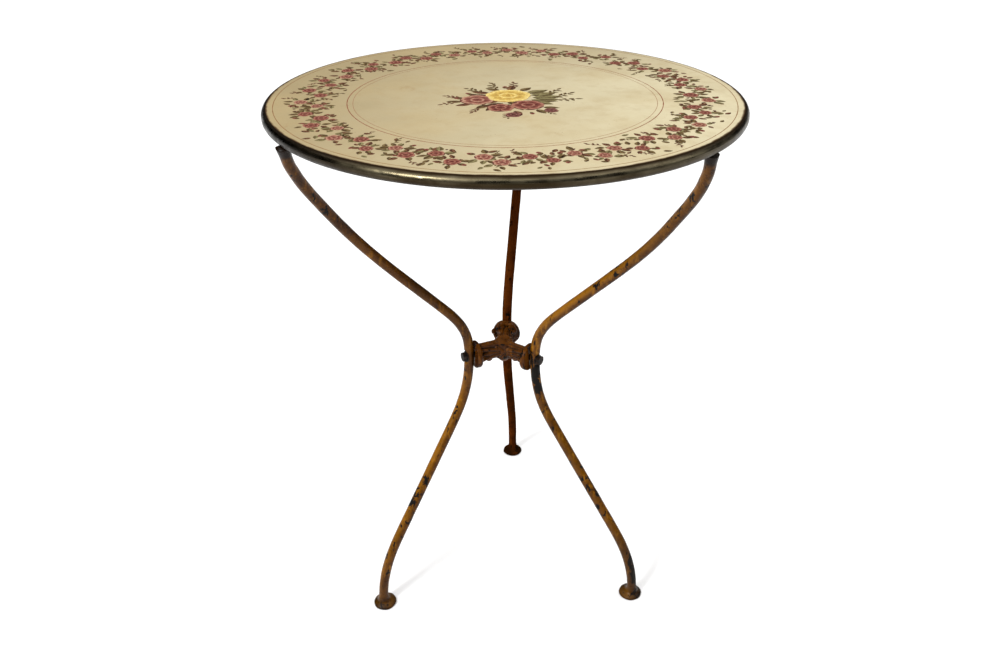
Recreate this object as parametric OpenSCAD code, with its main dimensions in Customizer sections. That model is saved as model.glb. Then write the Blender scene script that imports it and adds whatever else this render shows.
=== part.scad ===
// Three-legged bistro table: a painted round top in a half-round metal band, carried by three
// bent round bars that are bolted to a cast hub at mid height. Millimetres, +Z up, and the origin
// is on the floor under the middle of the top.

/* [Top] */
// Diameter over the metal band
top_d = 600; // [560:10:640]
// Height of the painted face above the floor
top_height = 740; // [700:5:760]
// Thickness of the top, which is also the height of the band
top_t = 15; // [14:0.5:18]
// How far the band bulges out past the painted face
band_bulge = 6.4; // [5:0.2:7]
// Thickness of the painted metal sheet
sheet_t = 1; // [0.8:0.1:1.5]
// Width of the band's lower leg, which is let into the boards from below
band_leg_w = 12; // [10:1:14]
// Thickness of the band's lower leg
band_leg_t = 1.2; // [1:0.2:1.6]
// Number of pins through the band's lower leg
band_pins = 12; // [6:6:12]
// Diameter of a band pin
band_pin_d = 1.8; // [1.4:0.2:2.4]
// Length of a band pin
band_pin_l = 11; // [8:1:12]

/* [Legs] */
// Diameter of the bar that a leg is bent from
bar_d = 14; // [12:0.5:16]
// Distance of a foot from the middle of the legs
foot_r = 233.5; // [220:0.5:245]
// Diameter of a foot
foot_d = 33.5; // [28:0.5:38]
// Thickness of a foot at its rim
foot_t = 4.5; // [3:0.5:6]
// Height of the bend just above a foot
ankle_z = 62; // [55:1:70]
// Bending radius at the ankle
ankle_bend = 171; // [150:1:180]
// Distance out of the bend below the hub
knee_out = 61; // [60:1:64]
// Height of the bend below the hub
knee_z = 302; // [298:1:306]
// Bending radius below the hub
knee_bend = 141; // [120:1:150]
// Distance out of the bend above the hub
waist_out = 48; // [46:1:50]
// Height of the bend above the hub
waist_z = 407; // [403:1:412]
// Bending radius above the hub
waist_bend = 93; // [85:1:100]
// How far the shoulder lies in from the band's outside
shoulder_in = 50; // [44:1:56]
// How far the shoulder lies below the painted face
shoulder_drop = 126; // [120:1:132]
// Bending radius at the shoulder
shoulder_bend = 337; // [300:1:345]
// How far the upper end of the bar lies in from the band's outside
bar_end_in = 4; // [3:0.5:8]
// Sideways shift of the three legs under the top
legs_shift = -2; // [-3:0.5:3]
// How far the left foot is turned from its even place, in degrees
left_foot_turn = 8.5; // [0:0.5:9]
// How far the right foot is turned
right_foot_turn = -2.5; // [-5:0.5:5]
// How far the back foot is turned
back_foot_turn = -4; // [-5:0.5:5]
// How far the left shoulder is turned
left_shoulder_turn = -12.3; // [-12.3:0.1:0]
// How far the right shoulder is turned
right_shoulder_turn = 1.2; // [-3:0.1:3]
// How far the back shoulder is turned
back_shoulder_turn = -6.6; // [-7:0.1:0]
// How far the left pad is turned
left_pad_turn = 4.3; // [0:0.1:5]
// How far the right pad is turned
right_pad_turn = -9.8; // [-10:0.1:0]
// How far the back pad is turned
back_pad_turn = -2.7; // [-4:0.1:4]
// How far the hub is turned
hub_turn = -5; // [-6:0.5:0]

/* [Pads under the top] */
// Diameter of a pad
pad_d = 28; // [27:1:34]
// Thickness of a pad
pad_t = 3; // [2.5:0.5:4]
// How far a pad's middle lies in from the band's outside
pad_in = 22; // [20:1:24]
// Diameter of a pad screw's shank
screw_d = 4; // [3:0.5:4.5]
// Length of a pad screw below its head
screw_l = 14; // [10:1:16]
// Spacing of the two screws in a pad
screw_gap = 16; // [14:1:17]

/* [Hub] */
// Height of the hub bolts
hub_z = 368; // [362:1:372]
// Diameter of the hub's core
core_d = 27; // [24:1:30]
// Height of the hub's arms
arm_h = 22; // [18:1:24]
// Thickness of the hub's arms
arm_t = 12; // [11:0.5:15]
// Diameter of the rosette at the end of an arm
rosette_d = 40; // [36:1:42]
// Thickness of a rosette
rosette_t = 6; // [5:0.5:8]
// How deep a bar sits in its rosette
seat_depth = 2; // [1:0.5:3]
// Number of petals in a rosette
petal_count = 8; // [6:1:10]

/* [Hub bolts] */
// Diameter of a hub bolt
bolt_d = 8; // [6:1:8]
// Width of a bolt head across its flats
bolt_head_af = 13; // [10:1:14]
// Height of a bolt head
bolt_head_h = 5.5; // [4:0.5:6]
// How deep a bolt screws into its arm
bolt_grip = 24; // [16:1:28]
// Outer diameter of a washer
washer_d = 16; // [14:0.5:18]
// Thickness of a washer
washer_t = 1.6; // [1:0.2:2]
// Depth of the flat filed on a leg under its washer
flat_depth = 1.5; // [1:0.1:2]

/* [Hidden] */
$fn = 64;
SIDES = ["left", "right", "back"];
EVEN_PLACES = [210, 330, 90];
board_count = 4;
foot_turns = [left_foot_turn, right_foot_turn, back_foot_turn];
shoulder_turns = [left_shoulder_turn, right_shoulder_turn, back_shoulder_turn];
pad_turns = [left_pad_turn, right_pad_turn, back_pad_turn];
bend_radii = [ankle_bend, knee_bend, waist_bend, shoulder_bend];
bar_r = bar_d / 2;
band_r = (pow(band_bulge, 2) + pow(top_t / 2, 2)) / (2 * band_bulge);
face_r = top_d / 2 - band_bulge;
core_top = top_height - sheet_t;
underside = top_height - top_t;
board_w = 2 * face_r / board_count;
hole_play = 0.2;
eps = 0.01;
bar_sides = 24;
bend_step = 6;
// How much the foot and the pad's swelling stand proud of the bar where they meet it
collar = 0.3;
// The bar's axis leaves the rosette's outer face by this much
seat_gap = bar_r - seat_depth;
axis_at_hub = waist_out + (knee_out - waist_out) * (waist_z - hub_z) / (waist_z - knee_z);
rosette_out = axis_at_hub - seat_gap;
washer_in = axis_at_hub + bar_r - flat_depth;
pad_r = top_d / 2 - pad_in;
screw_head_d = 7.5;
screw_head_h = 2.4;
screw_in = 6;

// ---- the route of a bent bar -------------------------------------------------------------

function unit(v) = v / norm(v);
function polar(r, angle, z) = [r * cos(angle), r * sin(angle), z];

// Corners of leg k, from the floor to the top, before its bends are rounded
function corners(k) = [
    polar(foot_r, EVEN_PLACES[k] + foot_turns[k], foot_t),
    polar(foot_r, EVEN_PLACES[k] + foot_turns[k], ankle_z),
    polar(knee_out, EVEN_PLACES[k] + hub_turn, knee_z),
    polar(waist_out, EVEN_PLACES[k] + hub_turn, waist_z),
    polar(top_d / 2 - shoulder_in, EVEN_PLACES[k] + shoulder_turns[k], top_height - shoulder_drop),
    polar(top_d / 2 - bar_end_in, EVEN_PLACES[k] + pad_turns[k], underside)
];

function heading(p, i) = unit(p[i + 1] - p[i]);
function bend_angle(p, i) = acos(heading(p, i - 1) * heading(p, i));
// Length that a bend takes from the straights on each side of its corner; none at the two ends
function setback(p, i) =
    (i == 0 || i == len(p) - 1) ? 0 : bend_radii[i - 1] * tan(bend_angle(p, i) / 2);

function inward(p, i) =
    unit(heading(p, i) - heading(p, i - 1) * (heading(p, i) * heading(p, i - 1)));

// A place on bend i, turned by the given angle from its start, and the direction there
function bend_station(p, i, angle) =
    let (
        ahead = heading(p, i - 1),
        side = inward(p, i),
        radius = bend_radii[i - 1],
        middle = p[i] - ahead * setback(p, i) + side * radius
    )
    [
        middle + radius * (ahead * sin(angle) - side * cos(angle)),
        ahead * cos(angle) + side * sin(angle)
    ];

// Places and directions along the whole bar, which runs on a little past its last corner
function stations(p) =
    let (last = len(p) - 1)
    concat(
        [[p[0], heading(p, 0)]],
        [
            for (i = [1 : last - 1])
                let (steps = ceil(bend_angle(p, i) / bend_step))
                for (s = [0 : steps])
                    bend_station(p, i, bend_angle(p, i) * s / steps)
        ],
        [[p[last] + heading(p, last - 1) * bar_r, heading(p, last - 1)]]
    );

// One round of points about a station; sideways is any direction that the bar never follows
function ring(station, sideways) =
    let (
        u = unit(cross(sideways, station[1])),
        v = cross(station[1], u)
    )
    [
        for (j = [0 : bar_sides - 1])
            station[0] + bar_r * (u * cos(j * 360 / bar_sides) + v * sin(j * 360 / bar_sides))
    ];

module bent_bar(k) {
    sideways = [-sin(EVEN_PLACES[k]), cos(EVEN_PLACES[k]), 0];
    places = stations(corners(k));
    last = len(places) - 1;
    points = [for (place = places) each ring(place, sideways)];
    walls = [
        for (i = [0 : last - 1], j = [0 : bar_sides - 1])
            let (next = (j + 1) % bar_sides)
            each [
                [i * bar_sides + j, (i + 1) * bar_sides + j, (i + 1) * bar_sides + next],
                [i * bar_sides + j, (i + 1) * bar_sides + next, i * bar_sides + next]
            ]
    ];
    start_cap = [for (j = [0 : bar_sides - 1]) j];
    end_cap = [for (j = [bar_sides - 1 : -1 : 0]) last * bar_sides + j];
    polyhedron(points = points, faces = concat(walls, [start_cap, end_cap]));
}

// The straight part of leg k that lies in its seat on the hub
module seated_bar(k) {
    p = corners(k);
    run = heading(p, 2);
    translate(p[2])
        rotate([0, acos(run[2]), atan2(run[1], run[0])])
            cylinder(h = norm(p[3] - p[2]), r = bar_r);
}

// Puts its children at the hub's height, turned so that +X runs out along arm k
module along_arm(k) {
    translate([0, 0, hub_z]) rotate([0, 0, EVEN_PLACES[k] + hub_turn]) children();
}

// A cylinder that lies along +X from the distance start to the distance stop
module rod_x(start, stop, r) {
    translate([start, 0, 0]) rotate([0, 90, 0]) cylinder(h = stop - start, r = r);
}

// ---- the top -----------------------------------------------------------------------------

module painted_top() {
    color([0.85, 0.78, 0.64])
        translate([0, 0, core_top]) cylinder(h = sheet_t, r = face_r, $fn = 180);
}

module all_pins() {
    for (i = [0 : band_pins - 1])
        rotate([0, 0, (i + 0.5) * 360 / band_pins])
            translate([face_r - band_leg_w / 2, 0, underside])
                cylinder(h = band_pin_l, r = band_pin_d / 2, $fn = 24);
}

module core_board(i) {
    color([0.45, 0.32, 0.2])
        difference() {
            intersection() {
                translate([0, 0, underside]) cylinder(h = top_t - sheet_t, r = face_r, $fn = 180);
                translate([-face_r + i * board_w, -face_r, underside])
                    cube([board_w, 2 * face_r, top_t - sheet_t]);
            }
            translate([0, 0, underside - 1])
                difference() {
                    cylinder(h = band_leg_t + 1, r = face_r + 1, $fn = 180);
                    cylinder(h = band_leg_t + 1, r = face_r - band_leg_w, $fn = 180);
                }
            all_pins();
            for (k = [0 : 2]) screw_shanks(k);
        }
}

module rim_band() {
    color([0.35, 0.31, 0.24])
        difference() {
            translate([0, 0, top_height - top_t / 2])
                rotate_extrude($fn = 180) {
                    intersection() {
                        translate([top_d / 2 - band_r, 0]) circle(r = band_r);
                        translate([face_r, -top_t]) square([band_bulge + 1, 2 * top_t]);
                    }
                    translate([face_r - band_leg_w, -top_t / 2])
                        square([band_leg_w + 0.5, band_leg_t]);
                }
            all_pins();
        }
}

module rim_pins() {
    color([0.5, 0.46, 0.36]) all_pins();
}

// ---- the legs ----------------------------------------------------------------------------

// A foot: a flat disc that flows up into the bar through a hollow curve
module foot() {
    neck = bar_r + collar;
    flare = foot_d / 2 - neck - 2;
    rotate_extrude()
        difference() {
            union() {
                square([foot_d / 2 - 1, foot_t]);
                translate([0, 1]) square([foot_d / 2, foot_t - 1]);
                translate([0, foot_t - eps]) square([neck + flare, flare + eps]);
            }
            translate([neck + flare, foot_t + flare]) circle(r = flare);
        }
}

// The screws of pad k, as places around the pad, shared by the holes and the screws
module at_screws(k) {
    rotate([0, 0, EVEN_PLACES[k] + pad_turns[k]])
        for (side = [-1, 1])
            translate([pad_r - screw_in, side * screw_gap / 2, 0]) children();
}

module screw_shanks(k) {
    at_screws(k)
        translate([0, 0, underside - pad_t]) cylinder(h = screw_l, r = screw_d / 2, $fn = 32);
}

// The end of the bar, swollen and beaten out into a pad
module pad(k) {
    p = corners(k);
    last = len(p) - 1;
    swell = 14;
    rotate([0, 0, EVEN_PLACES[k] + pad_turns[k]])
        translate([pad_r, 0, underside - pad_t]) cylinder(h = pad_t, r = pad_d / 2);
    translate(p[last] - heading(p, last - 1) * swell)
        rotate([0, acos(heading(p, last - 1)[2]),
                atan2(heading(p, last - 1)[1], heading(p, last - 1)[0])])
            cylinder(h = swell + bar_r, r1 = bar_r + collar, r2 = bar_r + swell / 2);
}

module leg(k) {
    color([0.45, 0.3, 0.06])
        difference() {
            intersection() {
                translate([legs_shift, 0, 0]) {
                    bent_bar(k);
                    translate(polar(foot_r, EVEN_PLACES[k] + foot_turns[k], 0)) foot();
                    pad(k);
                }
                rotate([0, 0, EVEN_PLACES[k] + pad_turns[k]])
                    translate([0, -top_d / 2, 0]) cube([top_d / 2 - 0.5, top_d, underside]);
            }
            translate([legs_shift, 0, 0]) along_arm(k) {
                rod_x(axis_at_hub - bar_d, axis_at_hub + bar_d, bolt_d / 2 + hole_play);
                rod_x(washer_in, washer_in + bar_r, washer_d / 2 + 0.5);
            }
            translate([legs_shift, 0, 0]) screw_shanks(k);
        }
}

module pad_screws(k) {
    color([0.3, 0.27, 0.22])
        translate([legs_shift, 0, 0]) {
            screw_shanks(k);
            at_screws(k)
                translate([0, 0, underside - pad_t - screw_head_h])
                    cylinder(h = screw_head_h, r1 = screw_head_d / 2 - 1, r2 = screw_head_d / 2);
        }
}

// ---- the hub -----------------------------------------------------------------------------

// A rosette faces the middle of the hub: a disc, a raised ring and petals round an eye
module rosette() {
    back = rosette_out - rosette_t;
    petal_r = rosette_d / 9;
    rod_x(back, rosette_out, rosette_d / 2);
    translate([back, 0, 0]) rotate([0, 90, 0])
        rotate_extrude() translate([rosette_d / 2 - 2, 0]) circle(r = 1.6, $fn = 32);
    for (i = [0 : petal_count - 1])
        rotate([(i + 0.5) * 360 / petal_count, 0, 0])
            translate([back + 1.5, 0, rosette_d / 3]) sphere(r = petal_r, $fn = 32);
}

module arm(k) {
    rib_r = 1.8;
    along_arm(k) {
        translate([0, -arm_t / 2, -arm_h / 2])
            cube([rosette_out - 1, arm_t, arm_h]);
        for (side = [-1, 1], level = [-1, 1])
            translate([0, side * arm_t / 2, level * arm_h / 4])
                rod_x(core_d / 2 - 4, rosette_out - rosette_t + 1, rib_r, $fn = 32);
        rosette();
    }
}

module hub() {
    color([0.38, 0.25, 0.07])
        translate([legs_shift, 0, 0])
            difference() {
                union() {
                    for (k = [0 : 2]) arm(k);
                    translate([0, 0, hub_z - arm_h / 2 - 2])
                        cylinder(h = arm_h + 4, r = core_d / 2);
                    translate([0, 0, hub_z - arm_h / 2 - 2]) sphere(r = core_d / 3);
                    translate([0, 0, hub_z + arm_h / 2 + 2])
                        cylinder(h = 3, r1 = core_d / 2 - 1, r2 = core_d / 3);
                }
                for (k = [0 : 2]) {
                    seated_bar(k);
                    along_arm(k)
                        rod_x(rosette_out - bolt_grip, rosette_out + 1, bolt_d / 2);
                }
            }
}

module hub_bolt(k) {
    head_in = washer_in + washer_t;
    color([0.12, 0.1, 0.08])
        translate([legs_shift, 0, 0]) along_arm(k) {
            rod_x(rosette_out - bolt_grip, head_in + 1, bolt_d / 2);
            difference() {
                translate([head_in, 0, 0]) rotate([0, 90, 0])
                    cylinder(h = bolt_head_h, r = bolt_head_af / 2 / cos(30), $fn = 6);
                translate([head_in + bolt_head_h, 0, 0]) rotate([0, 90, 0])
                    rotate_extrude()
                        translate([bolt_head_af / 2 - 0.2, 0]) rotate([0, 0, 60])
                            translate([0, -4]) square([8, 8]);
            }
        }
}

module hub_washer(k) {
    color([0.16, 0.14, 0.11])
        translate([legs_shift, 0, 0]) along_arm(k)
            difference() {
                rod_x(washer_in, washer_in + washer_t, washer_d / 2);
                rod_x(washer_in - 1, washer_in + washer_t + 1, bolt_d / 2 + hole_play);
            }
}

painted_top();
core_board(0);  // core_board_1
core_board(1);  // core_board_2
core_board(2);  // core_board_3
core_board(3);  // core_board_4
rim_band();
rim_pins();
for (k = [0 : 2]) {
    leg(k);
    hub_bolt(k);
    hub_washer(k);
    pad_screws(k);
}
hub();
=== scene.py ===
"""A bistro table: a round painted top in a metal band, on three bent iron legs and a cast hub."""

import math
import random

import bmesh
import bpy
import numpy as np
from mathutils import Matrix, Vector, noise


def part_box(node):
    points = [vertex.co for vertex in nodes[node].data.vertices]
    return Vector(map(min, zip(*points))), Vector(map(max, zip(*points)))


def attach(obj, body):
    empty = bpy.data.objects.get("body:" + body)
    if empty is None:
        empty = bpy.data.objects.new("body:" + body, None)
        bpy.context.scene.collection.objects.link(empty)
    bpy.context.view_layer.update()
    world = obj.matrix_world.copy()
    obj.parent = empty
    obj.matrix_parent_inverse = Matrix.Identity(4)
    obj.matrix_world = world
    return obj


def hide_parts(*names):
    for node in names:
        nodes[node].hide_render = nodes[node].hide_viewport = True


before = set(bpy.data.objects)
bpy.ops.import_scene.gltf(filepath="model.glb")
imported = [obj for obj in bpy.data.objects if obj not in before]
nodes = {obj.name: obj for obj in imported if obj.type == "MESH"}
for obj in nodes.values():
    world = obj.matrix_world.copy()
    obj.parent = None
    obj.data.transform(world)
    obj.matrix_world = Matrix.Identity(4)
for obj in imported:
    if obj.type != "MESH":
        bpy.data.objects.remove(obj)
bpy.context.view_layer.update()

MM = 0.001
SIDES = ("left", "right", "back")

# Sizes and places that come from the frame
face_low, face_high = (Vector(corner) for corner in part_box("painted_top"))
band_low, band_high = (Vector(corner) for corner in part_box("rim_band"))
FACE_Z = face_high.z
FACE_R = (face_high.x - face_low.x) / 2
BAND_R = (band_high.x - band_low.x) / 2
UNDER_Z = band_low.z
BAND_LEG_W = 12 * MM
BAR_R = 7 * MM
FOOT_R = 16.75 * MM
PAD_R = 14 * MM
LEG_SIDES = 36


def middle(node):
    """The middle of a CAD node's box."""
    low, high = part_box(node)
    return (Vector(low) + Vector(high)) / 2


bolt_places = {side: middle("hub_bolt_" + side) for side in SIDES}
# The point where the three arms of the casting meet
HUB = sum(bolt_places.values(), Vector()) / 3


def away_from_hub(place):
    """The level direction from the middle of the casting to a place."""
    return Vector((place.x - HUB.x, place.y - HUB.y, 0)).normalized()


# ---- small helpers -----------------------------------------------------------------------


def colour(red, green, blue):
    """A linear colour from the 0 to 255 values of a paint chart."""
    parts = [value / 255 for value in (red, green, blue)]
    return [part / 12.92 if part < 0.04045 else ((part + 0.055) / 1.055) ** 2.4 for part in parts]


def smooth_step(low, high, value):
    """0 below low, 1 above high, and a soft rise between them."""
    t = min(max((value - low) / (high - low), 0.0), 1.0)
    return t * t * (3 - 2 * t)


def bump(value, centre, width):
    """1 at the centre, falling softly to 0 at width away."""
    return 1 - smooth_step(0, width, abs(value - centre))


def put_in_scene(name, data):
    """A new object in the scene that shows the mesh, lamp or camera."""
    thing = bpy.data.objects.new(name, data)
    bpy.context.scene.collection.objects.link(thing)
    return thing


def to_object(name, mesh, material, replaced=()):
    """Puts a finished mesh in the scene as a piece of the table."""
    piece = put_in_scene(name, mesh)
    mesh.materials.clear()
    mesh.materials.append(material)
    mesh.shade_smooth()
    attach(piece, "root")
    if replaced:
        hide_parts(*replaced)
    return piece


def to_mesh(name, shape):
    """A mesh of the finished shape, with its faces turned outwards."""
    bmesh.ops.recalc_face_normals(shape, faces=shape.faces)
    mesh = bpy.data.meshes.new(name)
    shape.to_mesh(mesh)
    shape.free()
    return mesh


def apply_modifiers(piece):
    """The piece's mesh with its modifiers worked in."""
    graph = bpy.context.evaluated_depsgraph_get()
    mesh = bpy.data.meshes.new_from_object(piece.evaluated_get(graph))
    piece.modifiers.clear()
    return mesh


def set_values(mesh, name, values):
    """Stores one number a vertex, for a material to read."""
    mesh.attributes.new(name, "FLOAT", "POINT").data.foreach_set("value", values)


# ---- materials ---------------------------------------------------------------------------


class Finish:
    """One material, built from short calls."""

    def __init__(self, name, **sockets):
        self.material = bpy.data.materials.new(name)
        self.material.use_nodes = True
        self.tree = self.material.node_tree
        self.shader = self.tree.nodes["Principled BSDF"]
        for socket, value in sockets.items():
            self.shader.inputs[socket.replace("_", " ")].default_value = value
        self.place = self.add("ShaderNodeTexCoord").outputs["Object"]

    def add(self, kind, inputs=None, **settings):
        """A node with its settings made and its inputs set or linked."""
        node = self.tree.nodes.new(kind)
        for key, value in settings.items():
            setattr(node, key, value)
        for key, value in (inputs or {}).items():
            if isinstance(value, bpy.types.NodeSocket):
                self.tree.links.new(value, node.inputs[key])
            else:
                node.inputs[key].default_value = value
        return node

    def noise(self, scale, detail=4.0, rough=0.55, where=None, distortion=0.0):
        """Cloudy noise from 0 to 1."""
        inputs = {"Vector": where or self.place, "Scale": scale, "Detail": detail}
        inputs.update({"Roughness": rough, "Distortion": distortion})
        return self.add("ShaderNodeTexNoise", inputs).outputs["Fac"]

    def stretched(self, x, y, z, where=None):
        """The place, scaled along each axis."""
        inputs = {"Vector": where or self.place, "Scale": (x, y, z)}
        return self.add("ShaderNodeMapping", inputs).outputs["Vector"]

    def value(self, name):
        """A number stored on the mesh."""
        return self.add("ShaderNodeAttribute", attribute_name=name).outputs["Fac"]

    def colour(self, name):
        """A colour stored on the mesh."""
        return self.add("ShaderNodeAttribute", attribute_name=name).outputs["Color"]

    def math(self, operation, first, second=0.0):
        """Arithmetic on two numbers."""
        node = self.add("ShaderNodeMath", {0: first, 1: second}, operation=operation)
        return node.outputs[0]

    def between(self, value, low, high, start=0.0, stop=1.0):
        """Maps low to start and high to stop, softly, and holds the ends."""
        inputs = {"Value": value, "From Min": low, "From Max": high}
        inputs.update({"To Min": start, "To Max": stop})
        node = self.add("ShaderNodeMapRange", inputs, interpolation_type="SMOOTHSTEP")
        return node.outputs["Result"]

    def mix(self, share, first, second, blend_type="MIX"):
        """Mixes two colours."""
        node = self.add("ShaderNodeMix", data_type="RGBA", blend_type=blend_type)
        for index, value in ((0, share), (6, first), (7, second)):
            if isinstance(value, bpy.types.NodeSocket):
                self.tree.links.new(value, node.inputs[index])
            else:
                node.inputs[index].default_value = value if index == 0 else (*value, 1.0)
        return node.outputs[2]

    def stain(self, base, tone, pattern, low, high, most=1.0):
        """Lays a tone over the base as the pattern rises from low to high, up to a share of most."""
        return self.mix(self.between(pattern, low, high, 0.0, most), base, tone)

    def relief(self, height, depth, under=None):
        """A bump of that depth in metres, on top of an earlier one."""
        inputs = {"Height": height, "Distance": depth, "Strength": 1.0}
        if under:
            inputs["Normal"] = under
        return self.add("ShaderNodeBump", inputs).outputs["Normal"]

    def finish(self, **links):
        """Links the given outputs to the shader and returns the material."""
        for socket, output in links.items():
            self.tree.links.new(output, self.shader.inputs[socket.replace("_", " ")])
        return self.material


def cream_paint():
    """Old cream enamel: mottled, with painted shade darker at the left, darker at the back, and grime along
    the band.
    """
    finish = Finish("cream_paint", Specular_IOR_Level=0.15)
    axes = finish.add("ShaderNodeSeparateXYZ", {"Vector": finish.place})
    side = finish.between(axes.outputs["X"], -0.31, 0.27)
    # Painted shade: the face is darker at the left and lighter at the right
    base = finish.mix(side, colour(152, 136, 102), colour(200, 190, 158))
    base = finish.stain(base, colour(150, 134, 102), axes.outputs["Y"], 0.0, 0.3, 0.6)
    base = finish.stain(base, colour(172, 152, 110), finish.noise(7, 6, 0.6), 0.4, 0.68, 0.4)
    base = finish.stain(base, colour(156, 134, 96), finish.noise(55, 5, 0.65), 0.45, 0.7, 0.2)
    blots = finish.noise(26, 5, 0.7, None, 0.8)
    base = finish.stain(base, colour(148, 116, 74), blots, 0.62, 0.74, 0.3)
    specks = finish.between(finish.noise(420, 2, 0.5), 0.68, 0.76, 0.0, 0.6)
    patches = finish.between(finish.noise(22, 3, 0.5), 0.48, 0.62)
    base = finish.mix(finish.math("MULTIPLY", specks, patches), base, colour(104, 76, 46))
    flat = finish.stretched(1, 1, 0)
    radius = finish.add("ShaderNodeVectorMath", {0: flat}, operation="LENGTH").outputs["Value"]
    ragged = finish.between(finish.noise(60, 4), 0.25, 0.75, 0.0, 1.6 * MM)
    edge = finish.math("ADD", radius, ragged)
    base = finish.stain(base, colour(70, 48, 24), edge, FACE_R - 2 * MM, FACE_R + 0.4 * MM)
    rough = finish.between(finish.noise(18, 5), 0.3, 0.7, 0.42, 0.6)
    normal = finish.relief(finish.noise(9, 4), 0.9 * MM)
    normal = finish.relief(finish.noise(260, 3), 0.03 * MM, normal)
    return finish.finish(Base_Color=base, Roughness=rough, Normal=normal)


def flower_paint():
    """Transfer-printed flowers: each patch's own colour, thinned by age to let the cream through."""
    finish = Finish("flower_paint", Specular_IOR_Level=0.12)
    base = finish.colour("paint")
    shade = finish.between(finish.noise(300, 4), 0.3, 0.7, 0.0, 0.6)
    base = finish.mix(shade, base, finish.mix(1.0, base, colour(170, 150, 136), "MULTIPLY"))
    base = finish.stain(base, colour(180, 160, 120), finish.noise(170, 5, 0.7), 0.58, 0.72, 0.45)
    rough = finish.between(finish.noise(40, 4), 0.3, 0.7, 0.45, 0.65)
    return finish.finish(Base_Color=base, Roughness=rough)


def band_metal():
    """Tarnished white metal, with painted shade dark along its top, its lower half and the left, and a
    painted highlight, partly worn-bright metal, on its crest.
    """
    finish = Finish("band_metal", Metallic=1.0)
    around = finish.add("ShaderNodeUVMap").outputs["UV"]
    tarnish = finish.between(finish.noise(13, 6, 0.6, around), 0.32, 0.62)
    base = finish.mix(tarnish, colour(92, 84, 67), colour(48, 40, 26))
    streaks = finish.noise(60, 4, 0.6, finish.stretched(0.25, 8, 1, around))
    base = finish.stain(base, colour(48, 39, 24), streaks, 0.42, 0.68, 0.5)
    # Painted highlight along the crest, partly metal worn bright
    rubbed_and_highlight = finish.between(finish.noise(28, 5, 0.65, around), 0.34, 0.58, 0.25, 1.0)
    crest = finish.math("MULTIPLY", finish.value("crest"), rubbed_and_highlight)
    base = finish.mix(crest, base, colour(110, 102, 80))
    # Painted shade and painted reflection: dark along the top edge and the lower half, and on the hidden
    # strip underneath
    hollow = finish.value("hollow")
    base = finish.mix(hollow, base, colour(38, 26, 10))
    axes = finish.add("ShaderNodeSeparateXYZ", {"Vector": finish.place})
    # Painted shade: the band is darker at the left
    left_painted_shade = finish.between(axes.outputs["X"], -0.24, -0.08, 0.9, 0.0)
    base = finish.mix(left_painted_shade, base, colour(26, 18, 8))
    rough = finish.between(finish.noise(45, 5, 0.6, around), 0.3, 0.7, 0.24, 0.42)
    rough = finish.math("ADD", rough, finish.math("MULTIPLY", hollow, 0.3))
    scratches = finish.noise(300, 3, 0.6, finish.stretched(0.4, 6, 1, around))
    normal = finish.relief(scratches, 0.04 * MM)
    normal = finish.relief(finish.noise(70, 4, 0.6, around), 0.2 * MM, normal)
    return finish.finish(Base_Color=base, Roughness=rough, Normal=normal)


def chipped_paint(name, main, deep, pale, gloss):
    """Ochre enamel on iron, lighter above as painted light and sun-fading, darker below as painted shade and
    grime, and chipped to black iron where it is worn.
    """
    finish = Finish(name, Specular_IOR_Level=gloss)
    clouds = finish.between(finish.noise(38, 6, 0.65), 0.36, 0.66)
    base = finish.mix(clouds, main, deep)
    streaks = finish.noise(30, 5, 0.6, finish.stretched(5, 5, 1))
    base = finish.stain(base, pale, streaks, 0.52, 0.7, 0.75)
    # Painted light, partly sun-fading: paler where the mesh says, mostly where the paint faces up
    base = finish.mix(finish.value("fade_and_painted_light"), base, pale)
    base = finish.stain(base, colour(44, 20, 4), finish.noise(140, 5, 0.7), 0.54, 0.68, 0.6)
    # A flake has come off where its noise is past a limit that drops with the wear
    flakes = finish.noise(120, 7, 0.6, finish.stretched(1, 1, 0.5), 0.4)
    limit = finish.between(finish.value("wear"), 0.0, 1.0, 0.72, 0.4)
    past = finish.math("SUBTRACT", flakes, limit)
    base = finish.stain(base, colour(50, 24, 6), past, -0.04, 0.0, 0.6)
    chips = finish.between(past, -0.004, 0.012)
    base = finish.mix(chips, base, colour(14, 10, 7))
    # Darker with grime and painted shade where the mesh says
    base = finish.mix(finish.value("dirt_and_shade"), base, colour(22, 11, 3))
    rough = finish.between(finish.noise(90, 5), 0.3, 0.7, 0.24, 0.42)
    rough = finish.math("ADD", rough, finish.math("MULTIPLY", chips, 0.22))
    normal = finish.relief(finish.noise(160, 5, 0.6), 0.12 * MM)
    normal = finish.relief(chips, -0.2 * MM, normal)
    return finish.finish(Base_Color=base, Roughness=rough, Normal=normal)


def dark_iron():
    """Blackened fasteners with a little brown rust."""
    finish = Finish("dark_iron", Specular_IOR_Level=0.15)
    rust = finish.between(finish.noise(220, 5, 0.7), 0.45, 0.68)
    base = finish.mix(rust, colour(17, 13, 10), colour(48, 28, 13))
    rough = finish.between(finish.noise(160, 4), 0.3, 0.7, 0.4, 0.7)
    normal = finish.relief(finish.noise(420, 4), 0.12 * MM)
    return finish.finish(Base_Color=base, Roughness=rough, Normal=normal)


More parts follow.
